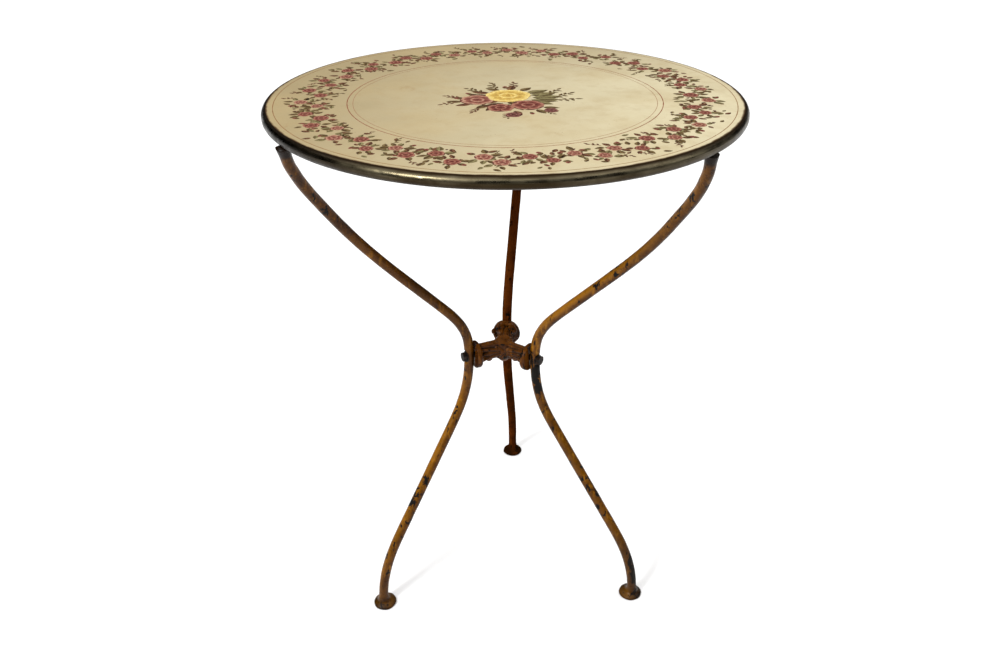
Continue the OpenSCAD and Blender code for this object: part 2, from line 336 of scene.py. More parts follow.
def board_wood(name, shift):
    """The bare underside of an old softwood board, its grain running along the board."""
    finish = Finish(name, Roughness=0.78)
    moved = finish.add("ShaderNodeMapping", {"Vector": finish.place, "Location": (shift, shift, 0)})
    here = moved.outputs["Vector"]
    warped = finish.noise(5, 3, 0.5, finish.stretched(1, 0.15, 1, here))
    wave = {"Vector": finish.stretched(1, 0.06, 1, here), "Scale": 58, "Distortion": 12}
    wave.update({"Detail": 3, "Detail Scale": 0.8})
    rings = finish.add("ShaderNodeTexWave", wave).outputs["Fac"]
    grain = finish.noise(190, 5, 0.65, finish.stretched(1, 0.04, 1, here))
    base = finish.mix(rings, colour(128, 94, 60), colour(100, 70, 43))
    base = finish.stain(base, colour(70, 47, 29), grain, 0.4, 0.7, 0.75)
    base = finish.stain(base, colour(92, 70, 50), warped, 0.45, 0.7, 0.5)
    base = finish.stain(base, colour(66, 54, 42), finish.noise(9, 6, 0.65), 0.4, 0.66, 0.55)
    normal = finish.relief(grain, 0.25 * MM)
    normal = finish.relief(rings, 0.15 * MM, normal)
    return finish.finish(Base_Color=base, Normal=normal)


def studio_floor():
    """The plain pale floor."""
    finish = Finish("studio_floor", Roughness=0.9, Base_Color=(*colour(250, 250, 250), 1.0))
    return finish.material


# ---- the camera, floor and lights --------------------------------------------------------


def add_camera():
    """A person stands in front of the table, a little over a metre away, and looks down on it."""
    distance, height = 1.1127, 1.0403
    pitch, yaw, roll = (math.radians(angle) for angle in (29.7, -0.37, -0.19))
    ahead = Vector((math.sin(yaw) * math.cos(pitch), math.cos(yaw) * math.cos(pitch), -math.sin(pitch)))
    level = Vector((math.cos(yaw), -math.sin(yaw), 0))
    right = math.cos(roll) * level + math.sin(roll) * level.cross(ahead)
    up = right.cross(ahead)
    camera = put_in_scene("camera", bpy.data.cameras.new("camera"))
    camera.data.sensor_width = 36
    camera.data.lens = 31.95
    camera.data.clip_start = 0.01
    turn = Matrix((right, up, -ahead)).transposed().to_4x4()
    camera.matrix_world = Matrix.Translation((0, -distance, height)) @ turn
    bpy.context.scene.camera = camera
    # Keeps the paints as they were mixed, with no film look laid over them
    bpy.context.scene.view_settings.view_transform = "Standard"


def add_floor():
    """A round pale floor, 30 m in radius."""
    shape = bmesh.new()
    bmesh.ops.create_circle(shape, cap_ends=True, segments=96, radius=30)
    mesh = bpy.data.meshes.new("floor")
    shape.to_mesh(mesh)
    shape.free()
    mesh.materials.append(studio_floor())
    floor = put_in_scene("floor", mesh)


def add_softbox(name, place, target, width, height, watts):
    """A rectangular soft light that faces the target."""
    light = bpy.data.lights.new(name, "AREA")
    light.shape = "RECTANGLE"
    light.size, light.size_y = width, height
    light.energy = watts
    lamp = put_in_scene(name, light)
    lamp.location = place
    lamp.rotation_euler = (Vector(target) - Vector(place)).to_track_quat("-Z", "Y").to_euler()


def add_lights():
    """A wide soft ceiling light, a window-like key at the front left and a weak fill."""
    ceiling = bpy.data.lights.new("ceiling", "SUN")
    ceiling.energy = 3.7
    ceiling.angle = math.radians(100)
    put_in_scene("ceiling", ceiling)
    add_softbox("key", (-1.5, -1.75, 2.1), (0, 0, 0.6), 0.5, 0.5, 46)
    add_softbox("fill", (2.3, -0.4, 1.9), (0, 0, 0.5), 1.2, 1.2, 7)


# ---- the top -----------------------------------------------------------------------------


def band_section():
    """The band's outline, out and down over the half-round and back along the lower leg."""
    bulge = BAND_R - FACE_R
    half = (FACE_Z - UNDER_Z) / 2
    crest = (half * half + bulge * bulge) / (2 * bulge)
    sweep = math.asin(min(half / crest, 1.0))
    steps = 26
    outline = []
    for step in range(steps + 1):
        angle = sweep * (1 - 2 * step / steps)
        outline.append((BAND_R - crest + crest * math.cos(angle), UNDER_Z + half + crest * math.sin(angle)))
    leg_t = 1.2 * MM
    outline.append((FACE_R - BAND_LEG_W, UNDER_Z))
    outline.append((FACE_R - BAND_LEG_W, UNDER_Z + leg_t))
    outline.append((FACE_R, UNDER_Z + leg_t))
    return outline


def band_dent(angle, height):
    """How far the band is pushed in at a place: gentle waves, and a few small knocks."""
    wave = noise.noise(Vector((math.cos(angle) * 5, math.sin(angle) * 5, height * 60)))
    push = 0.12 * MM * (1 + wave)
    maker = random.Random(5)
    for _ in range(26):
        place, level = maker.uniform(-math.pi, math.pi), maker.uniform(-0.6, 0.8)
        depth, width = maker.uniform(0.15, 0.5) * MM, maker.uniform(0.006, 0.022)
        gap = abs((angle - place + math.pi) % (2 * math.pi) - math.pi)
        push += depth * bump(gap, 0, width) * bump(height, level, 0.7)
    return push


def make_band():
    """The half-round band as one turned ring with a flat strip of UVs round it, in metres."""
    outline = band_section()
    turns = 900
    shape = bmesh.new()
    flat = shape.loops.layers.uv.new("around")
    hollow, crest = [], []
    rings = []
    middle_z = (FACE_Z + UNDER_Z) / 2
    for turn in range(turns):
        angle = 2 * math.pi * turn / turns
        ring = []
        for r, z in outline:
            height = (z - middle_z) / (FACE_Z - middle_z)
            outer = smooth_step(FACE_R, FACE_R + 2 * MM, r)
            r_now = r - band_dent(angle, height) * outer
            ring.append(shape.verts.new((r_now * math.cos(angle), r_now * math.sin(angle), z)))
            # Painted shade along the top edge and over the lower half, all over the strip hidden under the
            # top, and a painted highlight along the crest
            above = smooth_step(0.78, 0.94, height)
            below = 0.45 * smooth_step(-0.1, 0.4, -height) + 0.55 * smooth_step(0.62, 0.95, -height)
            hollow.append(max(above, below) if r >= FACE_R - 0.1 * MM else 1.0)
            crest.append(bump(height, 0.46, 0.4))
        rings.append(ring)
    lengths = [0.0]
    for (r0, z0), (r1, z1) in zip(outline, outline[1:] + outline[:1]):
        lengths.append(lengths[-1] + math.hypot(r1 - r0, z1 - z0))
    for turn in range(turns):
        first, second = rings[turn], rings[(turn + 1) % turns]
        for i in range(len(outline)):
            j = (i + 1) % len(outline)
            face = shape.faces.new((first[i], first[j], second[j], second[i]))
            across = (lengths[i], lengths[i + 1], lengths[i + 1], lengths[i])
            along = (turn, turn, turn + 1, turn + 1)
            for loop, u, v in zip(face.loops, along, across):
                loop[flat].uv = (u * 2 * math.pi * BAND_R / turns, v)
    mesh = to_mesh("band", shape)
    set_values(mesh, "hollow", hollow)
    set_values(mesh, "crest", crest)
    piece = to_object("band", mesh, band_metal(), ["rim_band"])
    mesh.set_sharp_from_angle(angle=math.radians(50))
    return piece


# ---- painted decoration ------------------------------------------------------------------

ROSE = {"pale": colour(166, 118, 98), "main": colour(128, 68, 58), "deep": colour(84, 38, 32)}
PALE_ROSE = {"pale": colour(182, 142, 118), "main": colour(144, 88, 74), "deep": colour(98, 50, 42)}
YELLOW = {"pale": colour(226, 204, 128), "main": colour(210, 180, 94), "deep": colour(178, 142, 66)}
MAUVE = {"pale": colour(146, 100, 88), "main": colour(104, 60, 54), "deep": colour(72, 36, 34)}
OLIVE = {"pale": colour(116, 98, 60), "main": colour(92, 72, 42), "deep": colour(64, 46, 26)}
BROWN = {"pale": colour(118, 82, 56), "main": colour(92, 58, 38), "deep": colour(62, 36, 22)}
GREY_GREEN = {"pale": colour(136, 128, 88), "main": colour(110, 98, 62), "deep": colour(78, 66, 38)}


class Brush:
    """Lays down thin flat patches of paint on the top, in millimetres from a chosen centre."""

    def __init__(self, seed, centre=(0, 0)):
        self.shape = bmesh.new()
        self.layer = self.shape.verts.layers.float_color.new("paint")
        self.chance = random.Random(seed)
        self.centre = centre
        self.laid = 0

    def corner(self, x, y, height, tone):
        """One painted corner at a height above the face."""
        x, y = (x + self.centre[0]) * MM, (y + self.centre[1]) * MM
        vert = self.shape.verts.new((x, y, FACE_Z + height * MM))
        vert[self.layer] = (*tone, 1.0)
        return vert

    def level(self, coat):
        """The height of the next patch in a coat, so that no two patches lie in one plane."""
        self.laid += 1
        return 0.04 + 0.06 * coat + 0.002 * (self.laid % 29)

    def patch(self, outline, inner, outer, coat, heart=None):
        """A closed thin patch whose tone runs from inner, at its heart, to outer."""
        height = self.level(coat)
        if heart is None:
            heart = [sum(values) / len(outline) for values in zip(*outline)]
        hub = self.corner(*heart, height, inner)
        top = [self.corner(x, y, height, outer) for x, y in outline]
        bottom = [self.corner(x, y, -0.05, outer) for x, y in outline]
        count = len(outline)
        for i in range(count):
            j = (i + 1) % count
            self.shape.faces.new((hub, top[i], top[j]))
            self.shape.faces.new((top[i], bottom[i], bottom[j], top[j]))
        self.shape.faces.new(bottom[::-1])

    def oval(self, x, y, long, wide, turn, inner, outer, coat, ripple=0.05, count=14):
        """A soft oval, a little uneven."""
        phase = self.chance.uniform(0, 6.28)
        outline = []
        for i in range(count):
            angle = 2 * math.pi * i / count
            swell = 1 + ripple * math.sin(3 * angle + phase) + ripple * math.sin(5 * angle - phase)
            along, across = long * swell * math.cos(angle), wide * swell * math.sin(angle)
            outline.append(turned(x, y, along, across, turn))
        self.patch(outline, inner, outer, coat)

    def leaf(self, x, y, length, width, turn, tones, coat=0, curl=0.0):
        """A pointed leaf that starts at x, y, in two tones either side of its rib."""
        steps = 7
        rib, left, right = [], [], []
        for i in range(steps + 1):
            t = i / steps
            bend = curl * length * t * t
            half = width / 2 * math.sin(math.pi * t ** 0.8) ** 0.9
            rib.append(turned(x, y, length * t, bend, turn))
            left.append(turned(x, y, length * t, bend + half, turn))
            right.append(turned(x, y, length * t, bend - half, turn))
        self.patch(rib[:1] + left[1:-1] + rib[:0:-1], tones["main"], tones["pale"], coat, left[steps // 2])
        self.patch(rib + right[-2:0:-1], tones["main"], tones["deep"], coat, right[steps // 2])

    def stem(self, points, width, tone, coat=0):
        """A thin curved line of paint through the points, tapering at its end."""
        left, right = [], []
        last = len(points) - 1
        for i, (x, y) in enumerate(points):
            x0, y0 = points[max(i - 1, 0)]
            x1, y1 = points[min(i + 1, last)]
            size = math.hypot(x1 - x0, y1 - y0)
            half = width / 2 * (1 - 0.5 * i / last)
            nx, ny = -(y1 - y0) / size * half, (x1 - x0) / size * half
            left.append((x + nx, y + ny))
            right.append((x - nx, y - ny))
        height = self.level(coat)
        rows = [[self.corner(*place, level, tone) for place in side]
                for side, level in ((left, height), (right, height), (right, -0.05), (left, -0.05))]
        for row, other in zip(rows, rows[1:] + rows[:1]):
            for i in range(last):
                self.shape.faces.new((row[i], other[i], other[i + 1], row[i + 1]))
        self.shape.faces.new([row[0] for row in rows])
        self.shape.faces.new([row[-1] for row in rows[::-1]])

    def rose(self, x, y, size, turn, tones, coat=1, petals=6):
        """An open rose: a dark ground, a round of pale-edged petals, folded petals and a heart."""
        self.oval(x, y, size * 0.98, size * 0.9, turn, tones["main"], tones["deep"], coat, 0.04, 20)
        for i in range(petals):
            angle = turn + 2 * math.pi * (i + self.chance.uniform(-0.12, 0.12)) / petals
            reach = size * self.chance.uniform(0.56, 0.64)
            px, py = turned(x, y, reach, 0, angle)
            broad = size * self.chance.uniform(0.4, 0.48)
            self.oval(px, py, size * 0.36, broad, angle, tones["main"], tones["pale"], coat + 1, 0.04, 12)
            px, py = turned(x, y, reach * 0.84, 0, angle + 0.1)
            fold = (size * 0.25, broad * 0.76)
            self.oval(px, py, *fold, angle, tones["deep"], tones["main"], coat + 2, 0.05, 10)
        for i in range(4):
            angle = turn + 0.5 + 2 * math.pi * i / 4
            px, py = turned(x, y, size * 0.25, 0, angle)
            curl = (size * 0.15, size * 0.27)
            self.oval(px, py, *curl, angle, tones["main"], tones["pale"], coat + 3, 0.04, 10)
            px, py = turned(x, y, size * 0.19, 0, angle)
            self.oval(px, py, size * 0.1, size * 0.2, angle, tones["deep"], tones["main"], coat + 4, 0.04, 8)
        self.oval(x, y, size * 0.13, size * 0.1, turn, tones["deep"], tones["deep"], coat + 5, 0.05, 8)

    def bud(self, x, y, size, turn, tones, coat=1):
        """A closed bud in its green cup."""
        self.oval(x, y, size, size * 0.62, turn, tones["pale"], tones["main"], coat, 0.03, 10)
        px, py = turned(x, y, size * 0.2, 0, turn)
        self.oval(px, py, size * 0.62, size * 0.26, turn, tones["main"], tones["deep"], coat + 1, 0.03, 8)
        for side in (-1, 1):
            bx, by = turned(x, y, -size * 1.05, 0, turn)
            self.leaf(bx, by, size * 1.25, size * 0.5, turn + 0.5 * side, OLIVE, coat + 2, -0.15 * side)

    def sprig(self, x, y, length, turn, tones, beads=4, curl=0.2):
        """A twig with small leaves or beads on alternate sides."""
        points = [turned(x, y, length * t, curl * length * t * t, turn) for t in np.linspace(0, 1, 6)]
        self.stem(points, 0.9, tones["main"])
        for i in range(beads):
            t = (i + 1) / beads
            px, py = turned(x, y, length * t, curl * length * t * t, turn)
            side = 1 if i % 2 else -1
            lean = turn + side * self.chance.uniform(0.6, 1.1) * (1 if i < beads - 1 else 0.2)
            self.leaf(px, py, length * self.chance.uniform(0.3, 0.42), length * 0.17, lean, tones, 1)

    def piece(self, name):
        """The finished coat of paint, riding on the table."""
        mesh = to_mesh(name, self.shape)
        piece = to_object(name, mesh, flower_finish)
        mesh.shade_flat()
        return piece


def turned(x, y, along, across, turn):
    """x, y moved along and across a direction."""
    c, s = math.cos(turn), math.sin(turn)
    return (x + along * c - across * s, y + along * s + across * c)


def paint_line(name, radius, width, tone, centre, seed):
    """A thin hand-drawn circle."""
    brush = Brush(seed, centre)
    count = 420
    rows = []
    for side, height in ((1, 0.08), (-1, 0.08), (-1, -0.05), (1, -0.05)):
        row = []
        for i in range(count):
            angle = 2 * math.pi * i / count
            wobble = noise.noise(Vector((math.cos(angle) * 3, math.sin(angle) * 3, seed)))
            half = width / 2 * (1 + 0.5 * noise.noise(Vector((angle * 20, seed, 0))))
            r = radius + 0.35 * wobble + side * half
            row.append(brush.corner(r * math.cos(angle), r * math.sin(angle), height, tone))
        rows.append(row)
    for row, other in zip(rows, rows[1:] + rows[:1]):
        for i in range(count):
            j = (i + 1) % count
            brush.shape.faces.new((row[i], other[i], other[j], row[j]))
    return brush.piece(name)


def paint_garland():
    """A wreath of roses, buds and leaves just inside the outer line."""
    brush = Brush(11, (0, -8))
    chance = brush.chance
    middle_r, roses = 240, 60
    for _ in range(420):
        r = middle_r + chance.gauss(0, 17)
        x, y = turned(0, 0, min(max(r, 206), 270), 0, chance.uniform(0, 2 * math.pi))
        length = chance.uniform(7, 12)
        tones = (OLIVE, BROWN, GREY_GREEN)[chance.randrange(3)]
        brush.leaf(x, y, length, length * 0.55, chance.uniform(0, 6.28), tones, 0, chance.uniform(-0.2, 0.2))
    for i in range(roses):
        angle = 2 * math.pi * (i + chance.uniform(-0.14, 0.14)) / roses
        r = middle_r + (9 if i % 2 else -8) + chance.uniform(-3, 3)
        x, y = turned(0, 0, r, 0, angle)
        size = chance.uniform(8, 10.5)
        for facing in (0, math.pi):
            for fan in (-0.95, -0.1, 0.8):
                turn = angle + facing + fan + chance.uniform(-0.3, 0.3)
                lx, ly = turned(x, y, size * chance.uniform(0.75, 1.2), 0, turn)
                tones = (OLIVE, BROWN, OLIVE, GREY_GREEN)[chance.randrange(4)]
                length = chance.uniform(9, 14)
                width = length * chance.uniform(0.5, 0.66)
                lean = turn + chance.uniform(-0.5, 0.5)
                brush.leaf(lx, ly, length, width, lean, tones, 0, chance.uniform(-0.2, 0.2))
        brush.rose(x, y, size, chance.uniform(0, 6.28), (ROSE, PALE_ROSE)[chance.random() < 0.35], 1, 5)
        half_way = angle + math.pi / roses
        for side in (-1, 1):
            outward = half_way + (0 if side > 0 else math.pi)
            bx, by = turned(0, 0, middle_r + side * chance.uniform(12, 22), 0, half_way)
            kind = chance.random()
            if kind < 0.3:
                brush.bud(bx, by, chance.uniform(3.4, 5), outward + chance.uniform(-0.9, 0.9), ROSE)
            elif kind < 0.7:
                tones = (OLIVE, BROWN)[chance.random() < 0.5]
                brush.sprig(bx, by, chance.uniform(10, 15), outward + chance.uniform(-0.9, 0.9), tones, 5)
            else:
                for _ in range(3):
                    dx, dy = chance.uniform(-5, 5), chance.uniform(-5, 5)
                    dot = chance.uniform(1.6, 2.6)
                    brush.oval(bx + dx, by + dy, dot, dot * 0.8, 0, BROWN["main"], BROWN["deep"], 0, 0.05, 8)
    brush.piece("garland")


def paint_bouquet():
    """The posy in the middle: a yellow rose over pink and red ones, in grey-green leaves."""
    brush = Brush(23, (2, -25))
    chance = brush.chance
    # The leafy mass at the right, then leaves that show all round the roses
    for x, y, length, turn in ((30, 18, 34, 0.25), (32, 8, 38, 0.0), (30, -2, 34, -0.3), (26, 26, 32, 0.7),
                               (40, 14, 26, 0.6), (38, 2, 28, -0.1), (34, -10, 26, -0.5)):
        brush.leaf(x, y, length, length * 0.5, turn, GREY_GREEN, 0, chance.uniform(-0.15, 0.15))
    for x, y, length, turn in ((-4, -18, 30, 3.9), (6, -20, 30, 5.4), (-10, -8, 30, 3.3), (14, -10, 30, 5.9),
                               (-20, 10, 30, 2.6), (-10, 38, 22, 2.2), (4, 42, 24, 1.3), (18, 38, 22, 0.9),
                               (-22, 26, 24, 2.7), (-34, 14, 20, 2.5), (-50, 2, 20, 3.0), (-54, -10, 20, 3.4),
                               (-44, -20, 20, 3.9), (-24, -24, 22, 4.0), (-16, -34, 18, 4.4),
                               (2, -22, 22, 4.9), (10, -50, 20, 4.9), (36, -44, 20, 5.4),
                               (44, -34, 20, 5.9), (-28, -8, 18, 4.6), (4, -8, 20, 5.2)):
        tones = (OLIVE, BROWN)[chance.random() < 0.4]
        lean = turn + chance.uniform(-0.25, 0.25)
        brush.leaf(x, y, length, length * 0.5, lean, tones, 0, chance.uniform(-0.2, 0.2))
    for x, y, turn, length in ((58, 12, 0.35, 26), (60, 0, -0.2, 24), (50, 24, 0.7, 24), (8, 52, 1.45, 24),
                               (-12, 46, 2.1, 26), (-30, 32, 2.4, 24), (-56, 6, 2.8, 20), (-58, -14, 3.3, 20),
                               (-30, -36, 4.0, 20), (0, -60, 4.5, 16), (44, -48, 5.5, 16)):
        brush.sprig(x, y, length, turn, (OLIVE, BROWN)[chance.random() < 0.5], 6, chance.uniform(-0.35, 0.35))
    brush.rose(-36, -3, 22, 0.6, PALE_ROSE, 2, 6)
    brush.rose(26, -25, 21, 2.1, ROSE, 2, 6)
    brush.rose(-7, -37, 17, 4.0, ROSE, 2, 5)
    brush.rose(2, 16, 29, 1.2, YELLOW, 3, 7)
    brush.rose(8, -66, 10, 0.4, MAUVE, 2, 5)
    brush.rose(53, -48, 9, 2.4, MAUVE, 2, 5)
    for x, y, size, turn in ((-2, 56, 5.5, 1.6), (-60, 4, 5, 3.0), (30, -60, 4.5, 5.0), (-48, 26, 4.5, 2.5)):
        brush.bud(x, y, size, turn, ROSE)
    brush.piece("bouquet")


def paint_top():
    """Every painted line and flower on the face."""
    paint_line("outer_line", 285, 0.9, colour(140, 104, 66), (0, -1), 3)
    paint_line("inner_line", 194, 1.0, colour(136, 78, 52), (0, -16), 7)
    paint_line("inner_hair_line", 187, 0.5, colour(150, 100, 70), (0, -16), 9)
    paint_garland()
    paint_bouquet()


# ---- the legs ----------------------------------------------------------------------------


def sections(node, levels):
    """The middle of a CAD node's outline at each level."""
    mesh = nodes[node].data
    mesh.calc_loop_triangles()
    places = np.array([vert.co[:] for vert in mesh.vertices])
    corners = places[np.array([tri.vertices[:] for tri in mesh.loop_triangles])]
    middles = []
    for level in levels:
        above = corners[:, :, 2] > level
        cut = corners[above.any(1) & ~above.all(1)]
        ends = []
        for start, stop in ((0, 1), (1, 2), (2, 0)):
            rise = cut[:, stop] - cut[:, start]
            share = np.full(len(cut), -1.0)
            np.divide(level - cut[:, start, 2], rise[:, 2], out=share, where=rise[:, 2] != 0)
            there = (share >= 0) & (share <= 1)
            ends.append((cut[:, start] + rise * share[:, None], there))
        points = np.zeros((len(cut), 2, 3))
        filled = np.zeros(len(cut), int)
        for point, there in ends:
            keep = there & (filled < 2)
            points[keep, filled[keep]] = point[keep]
            filled[keep] += 1
        whole = filled == 2
        length = np.linalg.norm(points[whole, 0] - points[whole, 1], axis=1)
        middles.append((points[whole].mean(1) * length[:, None]).sum(0) / length.sum())
    return np.array(middles)


def leg_line(node):
    """The bar's centre-line from the floor to the top, in even short steps."""
    foot_top, seat_gap, pad_gap = 14 * MM, 11 * MM, 26 * MM
    levels = np.arange(foot_top, UNDER_Z - pad_gap, 7 * MM)
    line = sections(node, [z for z in levels if abs(z - HUB.z) > seat_gap])
    for _ in range(3):
        line[1:-1] = (line[:-2] + 2 * line[1:-1] + line[2:]) / 4
    foot = sections(node, [2 * MM])[0]
    last_run = (line[-1] - line[-4]) / (line[-1][2] - line[-4][2])
    top = line[-1] + last_run * (UNDER_Z + 4 * MM - line[-1][2])
    line = np.vstack([(foot[0], foot[1], 0.0), (foot[0], foot[1], 5 * MM), line, top])
    far = np.concatenate([[0], np.cumsum(np.linalg.norm(np.diff(line, axis=0), axis=1))])
    even = np.linspace(0, far[-1], int(far[-1] / (2.6 * MM)))
    smooth = np.stack([np.interp(even, far, line[:, axis]) for axis in range(3)], axis=1)
    for _ in range(6):
        smooth[2:-1] = (smooth[1:-2] + 2 * smooth[2:-1] + smooth[3:]) / 4
    return smooth


# Millimetres above the floor, or below the top, each with its share of the full radius
FOOT_PROFILE = ((0.0, 0.90), (0.4, 0.965), (1.3, 1.0), (2.6, 1.0), (3.7, 0.975), (4.6, 0.92), (5.6, 0.82),
                (6.8, 0.69), (8.2, 0.585), (10.0, 0.51), (12.5, 0.46), (15.5, 0.432))
PAD_PROFILE = ((6.0, 0.30), (5.2, 0.50), (4.3, 0.72), (3.4, 0.9), (2.7, 0.97), (1.6, 1.0), (0.6, 0.99),
               (0.0, 0.96))


def leg_wear(side, place, normal, out):
    """How chipped the paint is at a place on a leg."""
    z = place.z
    below = HUB.z - z
    wear = 0.36 + 0.3 * noise.noise(place * 16 + Vector((3, 1, 7)))
    if side == "right":
        wear += 0.85 * bump(below, 24 * MM, 44 * MM) * smooth_step(-0.9, 0.3, normal.dot(out))
        wear += 0.55 * bump(z, 50 * MM, 60 * MM) * smooth_step(-0.6, 0.6, normal.x)
        wear += 0.1 * bump(z, 200 * MM, 140 * MM)
    if side == "left":
        wear += 0.5 * bump(below, 26 * MM, 20 * MM) * smooth_step(-0.2, 0.8, normal.dot(out))
        wear += 0.16 * bump(z, 130 * MM, 150 * MM)
        wear -= 0.06 * smooth_step(HUB.z, HUB.z + 60 * MM, z)
    if side == "back":
        wear -= 0.1
    return wear


def leg_dirt_and_shade(side, place, normal, out):
    """How dark a place on a leg is: grime at both ends and in patches, grime and painted shade where the bar
    sits in the casting, and painted shade on the sides that face down and to the right.
    """
    z = place.z
    top_end = smooth_step(UNDER_Z - 24 * MM, UNDER_Z - 8 * MM, z + 5 * MM * noise.noise(place * 90))
    foot = (1 - smooth_step(4 * MM, 30 * MM, z)) * (0.75 + 0.4 * noise.noise(place * 60))
    # Grime and painted shade where the bar faces into the casting
    seat_dirt_and_shade = 0.6 * bump(z, HUB.z, 22 * MM) * smooth_step(0.2, -0.5, normal.dot(out))
    # Painted shade on the sides that face down and to the right
    under = 0.74 * smooth_step(-0.1, 0.9, -normal.z + 0.35 * normal.x)
    grime = 0
    if side == "left":
        upper = smooth_step(HUB.z - 20 * MM, HUB.z + 50 * MM, z) * (1 - smooth_step(560 * MM, 700 * MM, z))
        grime = max(0.5 * upper, 0.35 * (1 - smooth_step(120 * MM, 260 * MM, z)))
    if side == "right":
        lower = 1 - smooth_step(HUB.z - 120 * MM, HUB.z, z)
        grime = max(0.3 * lower, 0.6 * (1 - smooth_step(60 * MM, 190 * MM, z)))
    cloudy = 0.8 + 0.6 * noise.noise(place * 22 + Vector((7, 4, 2)))
    return max(top_end, foot, seat_dirt_and_shade, under, grime * cloudy)


def leg_fade_and_light(side, place, normal):
    """How much paler the paint is at a place on a leg: painted light where it faces up and to the left,
    partly sun-fading, and more on the right leg above the hub.
    """
    # Painted light: paler where the bar faces up and to the left
    fade_and_painted_light = 0.55 * smooth_step(0.1, 0.9, normal.z - 0.5 * normal.x)
    # More painted light on the right leg above the hub
    if side == "right":
        above_hub = smooth_step(HUB.z + 20 * MM, HUB.z + 90 * MM, place.z)
        fade_and_painted_light += 0.4 * above_hub * smooth_step(-0.4, 0.5, normal.z - 0.3 * normal.x)
    return fade_and_painted_light


def add_rings(shape, rings):
    """Joins rings of points into a closed skin, with a fan at each end."""
    made = [[shape.verts.new(point) for point in ring] for ring in rings]
    count = len(made[0])
    for lower, upper in zip(made, made[1:]):
        for i in range(count):
            j = (i + 1) % count
            shape.faces.new((lower[i], lower[j], upper[j], upper[i]))
    for ring in (made[0][::-1], made[-1]):
        tip = shape.verts.new(sum((vert.co for vert in ring), Vector()) / count)
        for i in range(count):
            shape.faces.new((tip, ring[i], ring[(i + 1) % count]))


def bow(point, side):
    """Lets the bar bow out a little below the top and stand up straight where it meets it."""
    drop = (UNDER_Z - point.z) / MM
    out = Vector((point.x, point.y, 0)).normalized()
    swing = 2.2 if side == "left" else 3.4
    return point + out * MM * (swing * bump(drop, 48, 62) - 6 * (1 - smooth_step(-12, 30, drop)))


def level_ring():
    """Level unit vectors all round a leg."""
    turns = [2 * math.pi * i / LEG_SIDES for i in range(LEG_SIDES)]
    return [Vector((math.cos(turn), math.sin(turn), 0)) for turn in turns]


def foot_rings(foot, seed):
    """The beaten foot, which slides in towards the bar as it rises."""
    inwards = -Vector((foot.x, foot.y, 0)).normalized()
    rings = []
    for height, share in FOOT_PROFILE:
        slide = inwards * 2.2 * MM * (1 - smooth_step(3, 13, height))
        ring = []
        for edge in level_ring():
            uneven = noise.noise(edge * 1.4 + Vector((seed, 2, height * 0.1)))
            rough = 1 + 0.045 * uneven * smooth_step(0.42, 0.8, share)
            lift = 0.5 * MM * noise.noise(edge * 2 + Vector((seed, 5, 1))) * bump(height, 4.5, 4)
            ring.append(foot + slide + edge * FOOT_R * share * rough + Vector((0, 0, height * MM + lift)))
        rings.append(ring)
    return rings


def bar_rings(line, side, seed, out):
    """The bar itself, flat where the washer presses on it and a little swollen at its upper end."""
    washer = middle("hub_washer_" + side)
    flat_at = Vector((washer.x - HUB.x, washer.y - HUB.y, 0)).dot(out) - 0.8 * MM
    foot_top = 18 * MM
    rings = []
    across = Vector((1, 0, 0))
    for i, point in enumerate(line[:-1]):
        if point.z < foot_top:
            continue
        ahead = (line[i + 1] - line[i - 1]).normalized()
        across = (across - ahead * across.dot(ahead)).normalized()
        other = ahead.cross(across)
        swell = smooth_step(UNDER_Z - 15 * MM, UNDER_Z + 1 * MM, point.z) * MM
        ring = []
        for turn in level_ring():
            edge = across * turn.x + other * turn.y
            where = (point + edge * BAR_R) * 45 + Vector((seed, 0, 0))
            radius = BAR_R + 0.16 * MM * noise.noise(where) + 0.10 * MM * noise.noise(where * 3)
            spot = point + edge * (radius + swell)
            near = 1 - smooth_step(6.5 * MM, 10 * MM, abs(spot.z - HUB.z))
            over = max((spot - HUB).dot(out) - flat_at, 0)
            spot = spot - out * over * near
            spot.z = min(spot.z, UNDER_Z)
            ring.append(spot)
        rings.append(ring)
    return rings


def pad_rings(side, seed):
    """The round pad that the bar's upper end is beaten into."""
    pad = pad_middle(side)
    rings = []
    for drop, share in PAD_PROFILE:
        level = Vector((pad.x, pad.y, UNDER_Z - drop * MM))
        rough = [1 + 0.05 * noise.noise(edge * 1.6 + Vector((seed, 8, 3))) for edge in level_ring()]
        rings.append([level + edge * PAD_R * share * part for edge, part in zip(level_ring(), rough)])
    return rings


def make_leg(side):
    """One bar, swept in one go from its beaten foot to its swollen upper end, with its pad."""
    node = "leg_" + side
    line = [bow(Vector(point), side) for point in leg_line(node)]
    seed = SIDES.index(side) * 9.0
    out = away_from_hub(bolt_places[side])
    shape = bmesh.new()
    add_rings(shape, foot_rings(line[0], seed) + bar_rings(line, side, seed, out))
    add_rings(shape, pad_rings(side, seed))
    mesh = to_mesh(node, shape)
    spots = [(vert.co, vert.normal) for vert in mesh.vertices]
    marks = {
        "wear": [leg_wear(side, place, normal, out) for place, normal in spots],
        "dirt_and_shade": [leg_dirt_and_shade(side, place, normal, out) for place, normal in spots],
        "fade_and_painted_light": [leg_fade_and_light(side, place, normal) for place, normal in spots],
    }
    for name, values in marks.items():
        set_values(mesh, name, np.clip(values, 0, 1))
    # The back leg gets a darker copy of the ochre paint, as painted shade
    finish = shaded_back_paint if side == "back" else ochre_paint
    return to_object("painted_" + node, mesh, finish, [node])


def pad_middle(side):
    """The middle of a pad, which lies just outside its two screws."""
    screws = middle("pad_screws_" + side)
    return Vector((screws.x, screws.y, UNDER_Z)) + away_from_hub(screws) * 6 * MM


# ---- the hub -----------------------------------------------------------------------------

# How far out along an arm the rosette's inner face lies, in millimetres
ROSETTE_X = 41.8


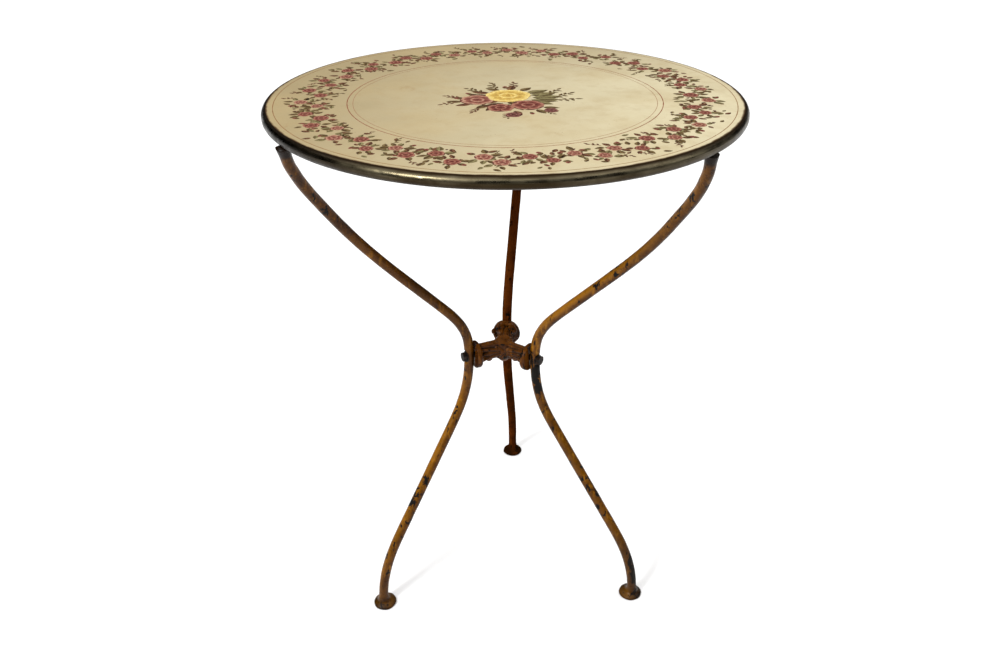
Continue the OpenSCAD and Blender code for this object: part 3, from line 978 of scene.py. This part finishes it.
class Casting:
    """Collects closed lumps round a CAD node, to be run together into one casting."""

    def __init__(self, node):
        self.shape = bmesh.new()
        self.shape.from_mesh(nodes[node].data)

    def ball(self, matrix, x, y, z, rx, ry=None, rz=None, turn=0.0):
        """An egg at x, y, z (millimetres) in the matrix's own axes, turned about its x axis."""
        ry, rz = ry or rx, rz or rx
        place = matrix @ Matrix.Translation(Vector((x, y, z)) * MM) @ Matrix.Rotation(turn, 4, "X")
        place = place @ Matrix.Diagonal((rx * MM, ry * MM, rz * MM, 1))
        bmesh.ops.create_uvsphere(self.shape, u_segments=20, v_segments=12, radius=1, matrix=place)

    def worm(self, matrix, points, radii):
        """A round strand through the points (millimetres), as thick at each as the radii say."""
        points = [Vector(point) * MM for point in points]
        fine, thick = [], []
        for i in range(len(points) - 1):
            before = points[max(i - 1, 0)]
            after = points[min(i + 2, len(points) - 1)]
            for step in range(5):
                t = step / 5
                fine.append(curve_point(before, points[i], points[i + 1], after, t))
                thick.append(radii[i] + (radii[i + 1] - radii[i]) * t)
        fine.append(points[-1])
        thick.append(radii[-1])
        rings = []
        across = Vector((0.3, 0.5, 0.8))
        for i, point in enumerate(fine):
            ahead = (fine[min(i + 1, len(fine) - 1)] - fine[max(i - 1, 0)]).normalized()
            across = (across - ahead * across.dot(ahead)).normalized()
            other = ahead.cross(across)
            ring = []
            for j in range(10):
                angle = 2 * math.pi * j / 10
                edge = across * math.cos(angle) + other * math.sin(angle)
                ring.append(matrix @ (point + edge * thick[i] * MM))
            rings.append(ring)
        add_rings(self.shape, rings)


def curve_point(before, start, stop, after, t):
    """A place on the smooth curve from start to stop."""
    return (
        start * 2
        + (stop - before) * t
        + (before * 2 - start * 5 + stop * 4 - after) * t * t
        + (start * 3 - before - stop * 3 + after) * t * t * t
    ) / 2


def arm_frame(side):
    """Axes at the hub's middle with x running out along an arm and z up."""
    bolt = bolt_places[side]
    return Matrix.Translation(HUB) @ Matrix.Rotation(math.atan2(bolt.y - HUB.y, bolt.x - HUB.x), 4, "Z")


def ring_points(x, radius, start, stop, count):
    """Points round a circle that faces along x."""
    angles = [start + (stop - start) * i / (count - 1) for i in range(count)]
    return [(x, radius * math.sin(angle), radius * math.cos(angle)) for angle in angles]


def add_arm_relief(casting, side):
    """Ribs, a leaf and edge strips along one arm, and the face of its rosette."""
    here = arm_frame(side)
    # Ribs that spread from the middle along both cheeks of the arm, over a leaf
    for cheek in (-1, 1):
        for spread in (-1.5, 0.0, 1.5):
            rib = ((4, 7.0, 1.2), (14, 7.4, 2.6), (26, 7.0, 4.4), (36, 7.6, 5.6), (42, 8.5, 6.4))
            points = [(x, cheek * y, spread * z) for x, y, z in rib]
            casting.worm(here, points, (2.2, 2.0, 1.8, 2.0, 2.2))
        casting.ball(here, 22, cheek * 5.2, 0, 13, 3.2, 5.4)
    casting.worm(here, [(8, 0, 11), (24, 0, 11.6), (42, 0, 10.6)], (3.0, 2.6, 2.6))
    casting.worm(here, [(8, 0, -11), (24, 0, -10.5), (42, 0, -11)], (2.8, 2.2, 2.6))
    # The rosette's rims, petals, scrolls and eyes, on the side that faces the middle
    casting.worm(here, ring_points(ROSETTE_X + 1.5, 18.2, 0, 2 * math.pi, 30), [1.9] * 30)
    casting.worm(here, ring_points(ROSETTE_X - 0.6, 13.5, 0, 2 * math.pi, 24), [1.3] * 24)
    for i in range(8):
        angle = (i + 0.5) * math.pi / 4
        y, z = 12.8 * math.sin(angle), 12.8 * math.cos(angle)
        casting.ball(here, ROSETTE_X + 0.2, y, z, 3.0, 2.6, 4.2, -angle)
    for sign in (-1, 1):
        scroll = []
        for i in range(11):
            angle = sign * (0.35 + 2.35 * i / 10)
            radius = 15.5 - 6.5 * i / 10
            scroll.append((ROSETTE_X - 1.2, radius * math.sin(angle), radius * math.cos(angle)))
        casting.worm(here, scroll, [1.1 + 0.1 * i for i in range(11)])
        casting.ball(here, ROSETTE_X - 1.5, sign * 7.5, -3.5, 2.6)


def add_back_leaves(casting):
    """The leaves and scrolls that look out above the two front arms, with their knobs."""
    here = arm_frame("back")
    for sign in (-1, 1):
        casting.ball(here, 38.5, sign * 5.6, 12.0, 3.6, 3.8, 7.4, -0.3 * sign)
        scroll = ((38, 1.5, 18), (37, 9.0, 17), (36.5, 13.5, 10.5), (37, 12.5, 4), (37.5, 8.5, 2.5))
        casting.worm(here, [(x, sign * y, z) for x, y, z in scroll], (1.6, 2.0, 2.3, 2.0, 1.7))
        casting.worm(here, [(30, 0, 4), (33, sign * 6, 5), (37, sign * 14, 8.5)], (2.4, 2.4, 2.0))
    casting.ball(here, 35.5, 0, 8.0, 3.6, 3.4, 3.2)
    casting.ball(here, 38.5, 0, 17.0, 2.6, 2.4, 2.8)
    casting.ball(here, 38, 19.5, 4.5, 4.6, 3.4, 4.4)


def add_knobs(casting):
    """A flat ledge along the left arm, knobs under the arms and an X of leaves at the middle."""
    ledge = arm_frame("left") @ Matrix.Translation(Vector((27, 0, 12.6)) * MM)
    ledge = ledge @ Matrix.Diagonal((30 * MM, 11 * MM, 3 * MM, 1))
    bmesh.ops.create_cube(casting.shape, size=1, matrix=ledge)
    casting.ball(arm_frame("left"), 24, 0, -12.6, 5.0, 4.6, 3.6)
    casting.ball(arm_frame("right"), 20, 0, -12.2, 5.0, 4.4, 3.2)
    centre = Matrix.Translation(HUB)
    casting.ball(centre, 1.5, -11, -8.5, 4.6, 3.6, 4.2)
    casting.ball(centre, -2, -12.5, 0.5, 3.4, 2.6, 3.4)
    for x, z in ((-8, 6), (8, 6), (-8, -6), (8, -6)):
        leaf = [(0, -12.8, 0), (x * 0.7, -12.4, z * 0.8), (x * 1.5, -11.4, z * 1.3)]
        casting.worm(centre, leaf, (1.8, 2.2, 1.6))


def one_skin(casting):
    """The casting's lumps run together into one soft-edged skin."""
    rough = put_in_scene("hub_lumps", to_mesh("hub_lumps", casting.shape))
    remesh = rough.modifiers.new("one skin", "REMESH")
    remesh.mode = "VOXEL"
    remesh.voxel_size = 0.75 * MM
    relax = rough.modifiers.new("soft edges", "SMOOTH")
    relax.factor = 0.5
    relax.iterations = 4
    mesh = apply_modifiers(rough)
    bpy.data.objects.remove(rough)
    return mesh


def make_hub():
    """The casting: the CAD arms with ribs, leaves, scrolls and rosettes run together in one skin."""
    casting = Casting("hub")
    for side in SIDES:
        add_arm_relief(casting, side)
    add_back_leaves(casting)
    add_knobs(casting)
    mesh = one_skin(casting)
    clear_seats(mesh)
    cast_skin(mesh)
    return to_object("cast_hub", mesh, cast_finish, ["hub"])


def clear_seats(mesh):
    """Presses the casting back where the three bars lie in their seats."""
    seat_r = BAR_R - 0.3 * MM
    reach = 40 * MM
    for side in SIDES:
        line = leg_line("leg_" + side)
        near = line[np.abs(line[:, 2] - HUB.z) < reach]
        for vert in mesh.vertices:
            if (vert.co - bolt_places[side]).length > reach:
                continue
            gaps = near - np.array(vert.co)
            sizes = np.linalg.norm(gaps, axis=1)
            closest = int(sizes.argmin())
            if sizes[closest] < seat_r:
                push = -Vector(gaps[closest]).normalized()
                vert.co += push * (seat_r - sizes[closest])


def cast_skin(mesh):
    """Roughens a casting, and finds its hollows, darkened with grime and painted shade, and its edges, which
    wear; it is paler where it faces up, as painted light.
    """
    count = len(mesh.vertices)
    places = np.empty(count * 3)
    mesh.vertices.foreach_get("co", places)
    places = places.reshape(-1, 3)
    normals = np.array([vert.normal[:] for vert in mesh.vertices])
    edges = np.empty(len(mesh.edges) * 2, int)
    mesh.edges.foreach_get("vertices", edges)
    edges = edges.reshape(-1, 2)
    ends = np.concatenate([edges[:, 0], edges[:, 1]])
    others = np.concatenate([edges[:, 1], edges[:, 0]])
    friends = np.maximum(np.bincount(ends, minlength=count), 1)
    soft = places.copy()
    for _ in range(10):
        sums = np.stack([np.bincount(ends, soft[others, axis], count) for axis in range(3)], axis=1)
        soft = sums / friends[:, None]
    # Hollows are darkened with grime and painted shade
    hollow = ((soft - places) * normals).sum(1) / (0.55 * MM)
    dirt_and_shade = np.clip(hollow, 0, 1) ** 0.8
    wear = np.clip(0.28 - hollow * 0.35, 0, 1)
    rough = [noise.noise(Vector(place) * 160) + 0.6 * noise.noise(Vector(place) * 420) for place in places]
    places = places + normals * (np.array(rough) * 0.16 * MM)[:, None]
    mesh.vertices.foreach_set("co", places.ravel())
    mesh.update()
    set_values(mesh, "wear", wear)
    set_values(mesh, "dirt_and_shade", dirt_and_shade)
    # Painted light: paler where the casting faces up
    set_values(mesh, "fade_and_painted_light", np.clip(normals[:, 2] * 0.4, 0, 1))


# ---- pieces kept from the frame ----------------------------------------------------------


def dress(node, material, rounding=0.0):
    """Gives a CAD node its finish, and rounds its edges a little."""
    piece = nodes[node]
    piece.data.materials.clear()
    piece.data.materials.append(material)
    if rounding:
        bevel = piece.modifiers.new("rounded edges", "BEVEL")
        bevel.width = rounding
        bevel.segments = 3
        bevel.limit_method = "ANGLE"
        bevel.angle_limit = math.radians(35)


flower_finish = flower_paint()
iron_finish = dark_iron()
ochre_paint = chipped_paint("ochre_paint", colour(104, 62, 6), colour(68, 36, 4), colour(158, 104, 22), 0.12)
# The same ochre made darker for the back leg, as painted shade
shaded_back_paint = chipped_paint("shaded_back_paint", colour(84, 38, 8), colour(54, 21, 5), colour(106, 54, 14), 0.0)
cast_finish = chipped_paint("cast_paint", colour(84, 44, 7), colour(48, 22, 4), colour(118, 70, 16), 0.1)

dress("painted_top", cream_paint())
for number in range(1, 5):
    wood = board_wood("board_wood_%d" % number, number * 0.37)
    dress("core_board_%d" % number, wood, 0.4 * MM)
dress("rim_pins", iron_finish)
for side in SIDES:
    dress("hub_bolt_" + side, iron_finish, 0.5 * MM)
    dress("hub_washer_" + side, iron_finish, 0.3 * MM)
    dress("pad_screws_" + side, iron_finish, 0.3 * MM)
    make_leg(side)
make_hub()
make_band()
paint_top()
add_camera()
add_floor()
add_lights()
